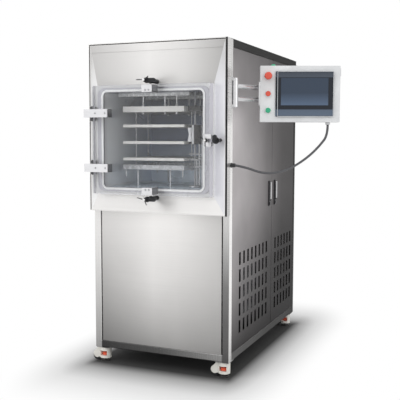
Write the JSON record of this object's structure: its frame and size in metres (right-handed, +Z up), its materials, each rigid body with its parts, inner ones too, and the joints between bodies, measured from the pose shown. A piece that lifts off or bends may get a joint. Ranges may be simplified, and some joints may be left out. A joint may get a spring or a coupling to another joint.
{
  "type": "freeze dryer",
  "caption": "Upright pilot freeze dryer: steel cabinet on levelling castors, thick clear chamber door with swing clamps, shelved chamber, vented service doors and a control box on a swing arm.",
  "frame": {"origin": "middle of the bounding box, on the floor under the levelling feet", "axes": "+Z up, +X to the operator's right, the chamber door faces -Y"},
  "size_m": [1.296, 1.5112, 1.712],
  "materials": {
    "cabinet_steel": "brushed, satin",
    "fascia_steel": "fine brushed, bright",
    "chamber_steel": "mirror polished",
    "machine_paint": "black enamel",
    "trap_steel": "satin",
    "silicone": "smooth white",
    "shelf_steel": "satin",
    "hose": "braided, matte",
    "acrylic": "clear, polished",
    "polished_steel": "polished",
    "lock_black": "satin black",
    "box_paint": "light grey powder coat",
    "bezel": "satin black",
    "screen": "glossy",
    "red": "glossy",
    "green": "glossy",
    "conduit": "matte",
    "castor_ivory": "satin ivory",
    "tread": "matte black",
    "foot_black": "matte black",
    "aluminium_fins": "plain"
  },
  "bodies": {
    "cabinet": {"front_frame": "cabinet_steel", "rear_frame": "cabinet_steel", "frame_rails": "cabinet_steel", "base_pan": "cabinet_steel", "front_panel": "cabinet_steel", "hood": "fascia_steel", "fascia": "fascia_steel", "left_panel": "cabinet_steel", "rear_panel": "cabinet_steel", "roof_panel": "cabinet_steel", "chamber": "chamber_steel", "door_gasket": "silicone", "shelf_plates": "shelf_steel", "shelf_rack": "shelf_steel", "fluid_manifold": "hose", "hinge_brackets": "polished_steel", "clamp_posts": "polished_steel", "arm_bracket": "polished_steel", "cable_gland": "polished_steel", "condenser": "aluminium_fins", "cold_trap": "trap_steel", "vacuum_pump": "machine_paint", "compressor": "machine_paint"},
    "door": {"chamber_door": "acrylic", "door_hinge_arms": "polished_steel", "door_lugs": "polished_steel"},
    "service_door_front": {"service_door_front": "cabinet_steel", "lock_frame_front": "lock_black"},
    "service_door_rear": {"service_door_rear": "cabinet_steel", "lock_frame_rear": "lock_black"},
    "lever_front": {"lock_lever_front": "lock_black"},
    "lever_rear": {"lock_lever_rear": "lock_black"},
    "control_arm": {"panel_arm": "polished_steel", "panel_box": "box_paint", "hmi_bezel": "bezel", "hmi_screen": "screen", "panel_lamp": "green", "panel_cable": "conduit"},
    "button_start": {"button_start": "green"},
    "button_stop": {"button_stop": "red"},
    "button_emergency": {"button_emergency": "red"},
    "fan": {"fan_rotor": "machine_paint"},
    "clamp_finger_top": {"clamp_finger_top": "polished_steel"},
    "clamp_nut_top": {"clamp_nut_top": "lock_black"},
    "clamp_finger_bottom": {"clamp_finger_bottom": "polished_steel"},
    "clamp_nut_bottom": {"clamp_nut_bottom": "lock_black"},
    "clamp_finger_right": {"clamp_finger_right": "polished_steel"},
    "clamp_nut_right": {"clamp_nut_right": "lock_black"},
    "castor_front_left": {"castor_body_front_left": "castor_ivory"},
    "wheel_front_left": {"castor_wheel_front_left": "tread"},
    "foot_front_left": {"castor_foot_front_left": "foot_black"},
    "castor_front_right": {"castor_body_front_right": "castor_ivory"},
    "wheel_front_right": {"castor_wheel_front_right": "tread"},
    "foot_front_right": {"castor_foot_front_right": "foot_black"},
    "castor_rear_left": {"castor_body_rear_left": "castor_ivory"},
    "wheel_rear_left": {"castor_wheel_rear_left": "tread"},
    "foot_rear_left": {"castor_foot_rear_left": "foot_black"},
    "castor_rear_right": {"castor_body_rear_right": "castor_ivory"},
    "wheel_rear_right": {"castor_wheel_rear_right": "tread"},
    "foot_rear_right": {"castor_foot_rear_right": "foot_black"}
  },
  "joints": [
    {"name": "chamber_door_hinge", "type": "hinge", "parent": "cabinet", "child": "door", "pos_m": [-0.586, -0.6352, 1.2085], "axis": [0, 0, -1], "range_deg": [0, 90]},
    {"name": "service_door_front_hinge", "type": "hinge", "parent": "cabinet", "child": "service_door_front", "pos_m": [0.159, -0.5274, 0.9], "axis": [0, 0, -1], "range_deg": [0, 26]},
    {"name": "service_door_rear_hinge", "type": "hinge", "parent": "cabinet", "child": "service_door_rear", "pos_m": [0.159, 0.5786, 0.9], "axis": [0, 0, 1], "range_deg": [0, 110]},
    {"name": "control_arm_pivot", "type": "hinge", "parent": "cabinet", "child": "control_arm", "pos_m": [0.187, -0.5624, 1.447], "axis": [0, 0, -1], "range_deg": [0, 90], "deforming": ["panel_cable"]},
    {"name": "clamp_finger_top_turn", "type": "hinge", "parent": "cabinet", "child": "clamp_finger_top", "pos_m": [-0.225, -0.7293, 1.508], "axis": [0, 1, 0], "range_deg": [0, 90]},
    {"name": "clamp_nut_top_spin", "type": "hinge", "parent": "cabinet", "child": "clamp_nut_top", "pos_m": [-0.225, -0.7446, 1.508], "axis": [0, -1, 0], "continuous": true},
    {"name": "clamp_finger_bottom_turn", "type": "hinge", "parent": "cabinet", "child": "clamp_finger_bottom", "pos_m": [-0.225, -0.7293, 0.917], "axis": [0, -1, 0], "range_deg": [0, 90]},
    {"name": "clamp_nut_bottom_spin", "type": "hinge", "parent": "cabinet", "child": "clamp_nut_bottom", "pos_m": [-0.225, -0.7446, 0.917], "axis": [0, -1, 0], "continuous": true},
    {"name": "clamp_finger_right_turn", "type": "hinge", "parent": "cabinet", "child": "clamp_finger_right", "pos_m": [0.125, -0.6823, 1.2125], "axis": [0, -1, 0], "range_deg": [0, 90]},
    {"name": "clamp_nut_right_spin", "type": "hinge", "parent": "door", "child": "clamp_nut_right", "pos_m": [0.082, -0.703, 1.2125], "axis": [0, -1, 0], "continuous": true},
    {"name": "lock_lever_front_pull", "type": "hinge", "parent": "service_door_front", "child": "lever_front", "pos_m": [0.1728, 0.0716, 0.965], "axis": [0, -1, 0], "range_deg": [0, 60]},
    {"name": "lock_lever_rear_pull", "type": "hinge", "parent": "service_door_rear", "child": "lever_rear", "pos_m": [0.1728, 0.1796, 0.965], "axis": [0, -1, 0], "range_deg": [0, 60]},
    {"name": "button_start_press", "type": "slide", "parent": "control_arm", "child": "button_start", "axis": [-0.3584, 0.9336, 0], "range_m": [0, 0.003], "stiffness_N_per_m": 900},
    {"name": "button_stop_press", "type": "slide", "parent": "control_arm", "child": "button_stop", "axis": [-0.3584, 0.9336, 0], "range_m": [0, 0.003], "stiffness_N_per_m": 900},
    {"name": "button_emergency_press", "type": "slide", "parent": "control_arm", "child": "button_emergency", "axis": [-0.3584, 0.9336, 0], "range_m": [0, 0.004], "stiffness_N_per_m": 2500},
    {"name": "fan_spin", "type": "hinge", "parent": "cabinet", "child": "fan", "pos_m": [0.025, -0.1044, 0.33], "axis": [-1, 0, 0], "continuous": true},
    {"name": "castor_front_left_swivel", "type": "hinge", "parent": "cabinet", "child": "castor_front_left", "pos_m": [-0.575, -0.5344, 0.0797], "axis": [0, 0, 1], "continuous": true},
    {"name": "wheel_front_left_spin", "type": "hinge", "parent": "castor_front_left", "child": "wheel_front_left", "pos_m": [-0.623, -0.5344, 0.0265], "axis": [0, 1, 0], "continuous": true},
    {"name": "foot_front_left_screw", "type": "slide", "parent": "castor_front_left", "child": "foot_front_left", "axis": [0, 0, 1], "range_m": [0, 0.008]},
    {"name": "castor_front_right_swivel", "type": "hinge", "parent": "cabinet", "child": "castor_front_right", "pos_m": [0.125, -0.5344, 0.0797], "axis": [0, 0, 1], "continuous": true},
    {"name": "wheel_front_right_spin", "type": "hinge", "parent": "castor_front_right", "child": "wheel_front_right", "pos_m": [0.077, -0.5344, 0.0265], "axis": [0, 1, 0], "continuous": true},
    {"name": "foot_front_right_screw", "type": "slide", "parent": "castor_front_right", "child": "foot_front_right", "axis": [0, 0, 1], "range_m": [0, 0.008]},
    {"name": "castor_rear_left_swivel", "type": "hinge", "parent": "cabinet", "child": "castor_rear_left", "pos_m": [-0.575, 0.5856, 0.0797], "axis": [0, 0, 1], "continuous": true},
    {"name": "wheel_rear_left_spin", "type": "hinge", "parent": "castor_rear_left", "child": "wheel_rear_left", "pos_m": [-0.623, 0.5856, 0.0265], "axis": [0, 1, 0], "continuous": true},
    {"name": "foot_rear_left_screw", "type": "slide", "parent": "castor_rear_left", "child": "foot_rear_left", "axis": [0, 0, 1], "range_m": [0, 0.008]},
    {"name": "castor_rear_right_swivel", "type": "hinge", "parent": "cabinet", "child": "castor_rear_right", "pos_m": [0.125, 0.5856, 0.0797], "axis": [0, 0, 1], "continuous": true},
    {"name": "wheel_rear_right_spin", "type": "hinge", "parent": "castor_rear_right", "child": "wheel_rear_right", "pos_m": [0.077, 0.5856, 0.0265], "axis": [0, 1, 0], "continuous": true},
    {"name": "foot_rear_right_screw", "type": "slide", "parent": "castor_rear_right", "child": "foot_rear_right", "axis": [0, 0, 1], "range_m": [0, 0.008]}
  ]
}
